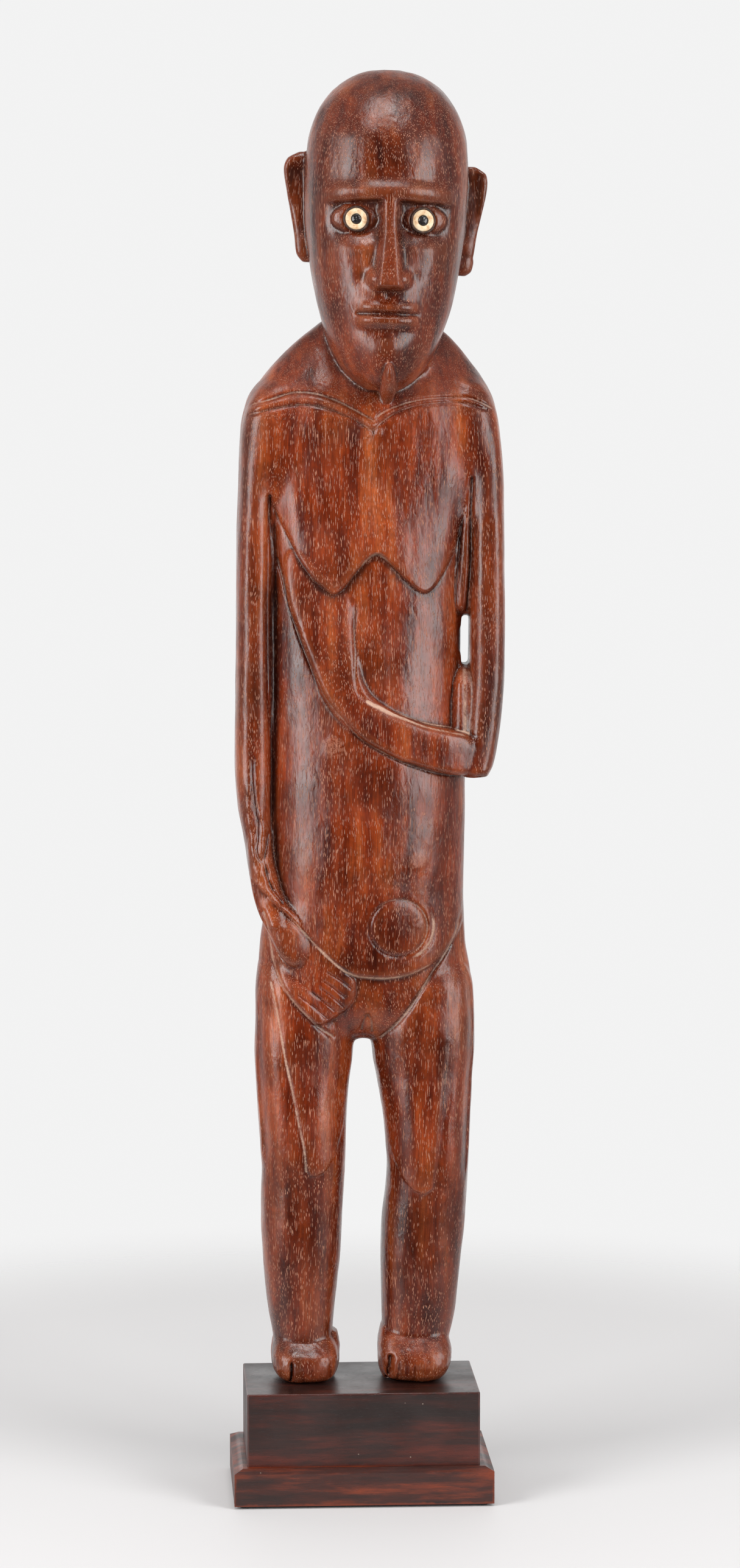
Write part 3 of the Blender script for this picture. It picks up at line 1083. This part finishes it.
# ---- The base: a block on a wider plinth, both stained and waxed -----------------------------------------
# Two boards of straight-grained hardwood, stained nearly black over red and rubbed with wax. The grain runs
# along X in both, so their ends show end grain, and their edges are worn back to the redder wood.


def stained(name, node, dark_tone, mid_tone, warm_tone, warm_at, shift):
    """Stained wood for one board: dark colour with warm streaks along X that are strongest in the band of
    heights warm_at, and edges worn towards the warm tone."""
    low, high = (np.array(corner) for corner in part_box(node))
    made, tree, shader, place = new_finish(name)
    lying = add(tree, "Mapping", {"Vector": place, "Location": (shift, 0.0, 0.0),
                                  "Rotation": (0.0, np.pi / 2, 0.0)}).outputs[0]
    board = add(tree, "Group", {"Vector": lying, "Spacing mm": 0.5, "Vessel Radius": 0.2, "Dash": 9.0},
                node_tree=grain)
    streak = add(tree, "Mapping", {"Vector": place, "Location": (shift, shift, shift),
                                   "Scale": (26.0, 150.0, 190.0)}).outputs[0]
    streak = noise(tree, streak, detail=6.0, roughness=0.55)
    height = add(tree, "SeparateXYZ", {0: place}).outputs["Z"]
    band = span(tree, height, warm_at[0], warm_at[1], 0.0, 0.10, soft=True)
    tone = ramp(tree, sum_of(tree, streak, band), (0.38, dark_tone), (0.55, mid_tone), (0.74, warm_tone))
    fibre = span(tree, board.outputs["Fibre"], 0.3, 0.7, 0.78, 1.24)
    tone = add(tree, "VectorMath", {0: tone, "Scale": fibre}, operation="SCALE").outputs[0]
    tone = blend(tree, sum_of(tree, board.outputs["Vessels"], 0.5, "MULTIPLY"), tone, (0.008, 0.004, 0.003))
    # nearness to an edge: the second greatest of the three shares of the way out from the middle to a face
    middle, half = (low + high) / 2, (high - low) / 2
    shares = add(tree, "VectorMath", {0: place, 1: tuple(-middle)}).outputs[0]
    shares = add(tree, "VectorMath", {0: shares}, operation="ABSOLUTE").outputs[0]
    gaps = add(tree, "VectorMath", {0: tuple(half), 1: shares}, operation="SUBTRACT").outputs[0]
    gaps = add(tree, "SeparateXYZ", {0: gaps})
    gap_x, gap_y, gap_z = gaps.outputs["X"], gaps.outputs["Y"], gaps.outputs["Z"]
    least = sum_of(tree, gap_x, sum_of(tree, gap_y, gap_z, "MINIMUM"), "MINIMUM")
    most = sum_of(tree, gap_x, sum_of(tree, gap_y, gap_z, "MAXIMUM"), "MAXIMUM")
    total = sum_of(tree, gap_x, sum_of(tree, gap_y, gap_z))
    second = sum_of(tree, total, sum_of(tree, least, most), "SUBTRACT")
    ragged = noise(tree, place, 260.0, 3.0)
    second = sum_of(tree, second, sum_of(tree, ragged, 0.0022, "MULTIPLY"))
    worn = span(tree, second, 0.0022, 0.0011, 0.0, 0.6, soft=True)
    tone = blend(tree, worn, tone, warm_tone)
    specks = add(tree, "TexVoronoi", {"Vector": place, "Scale": 110.0}).outputs["Distance"]
    specks = span(tree, specks, 0.035, 0.02, 0.0, 0.5)
    tone = blend(tree, specks, tone, (0.40, 0.32, 0.26))
    tree.links.new(tone, shader.inputs["Base Color"])
    wax = noise(tree, place, 60.0, 4.0)
    wax = span(tree, wax, 0.3, 0.7, 0.38, 0.56)
    polished = span(tree, height, high[2] - 0.0009, high[2] - 0.0004, 0.0, 0.13)
    wax = sum_of(tree, wax, polished, "SUBTRACT")
    tree.links.new(sum_of(tree, wax, sum_of(tree, board.outputs["Vessels"], 0.2, "MULTIPLY")),
                   shader.inputs["Roughness"])
    height = sum_of(tree, sum_of(tree, board.outputs["Fibre"], 0.5, "MULTIPLY"), board.outputs["Vessels"],
                    "SUBTRACT")
    emboss(tree, shader, height, 0.35, 0.00012)
    return made


def finish_machined(node, finish):
    """Puts one finish on a machined piece that keeps its own shape."""
    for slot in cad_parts[node].material_slots:
        slot.material = finish


BLOCK_TONES = [(0.012, 0.0048, 0.0038), (0.024, 0.0065, 0.0045), (0.070, 0.011, 0.0055)]
PLINTH_TONES = [(0.016, 0.0056, 0.0042), (0.040, 0.0085, 0.0048), (0.170, 0.026, 0.006)]
finish_machined("base_block", stained("block_stain", "base_block", *BLOCK_TONES, (0.034, 0.026), 0.0))
finish_machined("base_plinth", stained("plinth_stain", "base_plinth", *PLINTH_TONES, (0.004, 0.014), 3.7))

# ---- Felt under the plinth -------------------------------------------------------------------------------
# One cut of dark wool felt glued flat to the plinth's underside, a little inside its edge all round, with
# a soft, slightly furred cut edge.
low, high = (np.array(corner) * 1000 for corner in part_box("felt_sheet"))
across = 2 * np.pi * np.arange(480) / 480
ring_x, ring_y = rounded_ring(across, 60)
edge_x = ring_x * high[0] + 0.12 * np.sin(across * 37) + 0.08 * np.sin(across * 91 + 1)
edge_y = ring_y * high[1] + 0.12 * np.cos(across * 41) + 0.08 * np.sin(across * 83 + 2)
cut_edge = [(0.0, 0.985), (0.0, 0.997), (0.25, 1.0), (0.95, 1.0), (1.2, 0.998), (1.2, 0.985)]
inward = [(0.02 + 0.98 * k / 11) * 0.985 for k in range(11)]
rows = [(0.0, k) for k in inward] + cut_edge + [(1.2, k) for k in inward[::-1]]
grid = np.stack([np.stack([edge_x * k, edge_y * k, 0 * edge_x + height], axis=-1) for height, k in rows])
felt = bpy.data.objects.new("felt_pad", joined_mesh("felt_pad", [grid[:, ::-1]]))
bpy.context.scene.collection.objects.link(felt)
felt.data.shade_smooth()
wool, tree, shader, place = new_finish("wool_felt")
matted = noise(tree, place, 1500.0, 5.0, 0.75, distortion=1.2)
tree.links.new(ramp(tree, matted, (0.3, (0.008, 0.008, 0.010)), (0.55, (0.022, 0.021, 0.024)),
                    (0.8, (0.060, 0.056, 0.058))),
               shader.inputs["Base Color"])
shader.inputs["Roughness"].default_value = 0.95
shader.inputs["Sheen Weight"].default_value = 0.25
emboss(tree, shader, matted, 0.9, 0.0003)
felt.data.materials.append(wool)
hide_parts("felt_sheet")
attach(felt, "base")

# ---- Pins and screws -------------------------------------------------------------------------------------
# Two ground steel pins are driven into the block and stand up into the legs. Two slotted brass wood screws
# come up through the plinth into the block, their heads sunk under the felt.


def turned_metal(name, tone, grey, ring_along):
    """Bright metal with fine turning marks round Z, thin tarnish in patches, and a duller grain there."""
    made, tree, shader, place = new_finish(name)
    lines = stretched(tree, place, ring_along)
    lines = noise(tree, lines, detail=3.0)
    tarnish = noise(tree, place, 320.0, 4.0, 0.65)
    spots = span(tree, tarnish, 0.5, 0.7)
    tree.links.new(blend(tree, sum_of(tree, spots, 0.55, "MULTIPLY"), tone, grey),
                   shader.inputs["Base Color"])
    shader.inputs["Metallic"].default_value = 1.0
    tree.links.new(sum_of(tree, span(tree, lines, first=0.18, last=0.42),
                          sum_of(tree, spots, 0.25, "MULTIPLY")), shader.inputs["Roughness"])
    emboss(tree, shader, lines, 0.25, 0.00005)
    return made


steel = turned_metal("ground_steel", (0.56, 0.55, 0.53), (0.20, 0.17, 0.14), (400.0, 400.0, 9000.0))
brass = turned_metal("aged_brass", (0.64, 0.44, 0.17), (0.22, 0.13, 0.05), (700.0, 700.0, 5000.0))
for node, finish in (("mount_pin", steel), ("base_screw", brass)):
    for side in ("right", "left"):
        finish_machined(f"{node}_{side}", finish)

# ---- Studio: pale floor, soft lights and the camera ------------------------------------------------------
# A pale matte floor that thins out to the white of the room, so that it has no edge from any side.
floor = bpy.data.objects.new("floor", bpy.data.meshes.new("floor"))
floor.data.from_pydata([(-3, -3, 0), (3, -3, 0), (3, 3, 0), (-3, 3, 0)], [], [(0, 1, 2, 3)])
bpy.context.scene.collection.objects.link(floor)
pale, tree, shader, place = new_finish("pale_floor")
shader.inputs["Base Color"].default_value = (0.70, 0.69, 0.69, 1)
shader.inputs["Roughness"].default_value = 0.6
shader.inputs["Specular IOR Level"].default_value = 0.2
away = add(tree, "VectorMath", {0: place, 1: (0, -0.12, 0)}).outputs[0]
away = add(tree, "VectorMath", {0: away}, operation="LENGTH").outputs["Value"]
away = span(tree, away, 0.24, 0.46, 1.0, 0.0, soft=True)
tree.links.new(away, shader.inputs["Alpha"])
floor.data.materials.append(pale)

# The room is white to look at. What it throws on the piece is bright at the sides, above and behind, and
# dark in front, where nothing but the camera stands.
world = bpy.data.worlds.new("studio")
bpy.context.scene.world = world
world.use_nodes = True
tree = world.node_tree
facing = add(tree, "SeparateXYZ", {0: add(tree, "TexCoord").outputs["Generated"]})
ahead = span(tree, facing.outputs["Y"], -0.86, -0.35, 0.04, 0.42, soft=True)
behind = span(tree, facing.outputs["Y"], 0.45, 0.95, 0.0, 0.6, soft=True)
ahead = sum_of(tree, ahead, behind)
seen = add(tree, "LightPath").outputs["Is Camera Ray"]
level = add(tree, "Mix", {0: seen, 2: ahead, 3: 0.892}, data_type="FLOAT").outputs[0]
tree.links.new(level, tree.nodes["Background"].inputs["Strength"])
tree.nodes["Background"].inputs["Color"].default_value = (1, 1, 1, 1)
WAIST = Vector((0, 0, 0.3))


def softbox(name, place, width, height, power):
    """A rectangular area light at place, turned to face the figure's waist."""
    light = bpy.data.lights.new(name, "AREA")
    light.shape, light.size, light.size_y, light.energy = "RECTANGLE", width, height, power
    lamp = bpy.data.objects.new(name, light)
    lamp.location = place
    lamp.rotation_euler = (WAIST - Vector(place)).to_track_quat("-Z", "Y").to_euler()
    bpy.context.scene.collection.objects.link(lamp)


softbox("window_left", (-1.23, -0.86, 0.65), 0.75, 1.5, 27)
softbox("window_right", (1.08, -1.02, 0.65), 0.8, 1.5, 24)
softbox("overhead", (0, -0.5, 1.9), 0.6, 0.4, 9)

lens = bpy.data.cameras.new("camera")
lens.lens, lens.sensor_width = 113.48, 36
camera = bpy.data.objects.new("camera", lens)
camera.location = (-0.106, -2.034, 0.512)
camera.rotation_euler = (np.radians(90 - 6.02), 0, np.radians(-3.1))
bpy.context.scene.collection.objects.link(camera)
bpy.context.scene.camera = camera
bpy.context.scene.view_settings.view_transform = "Standard"
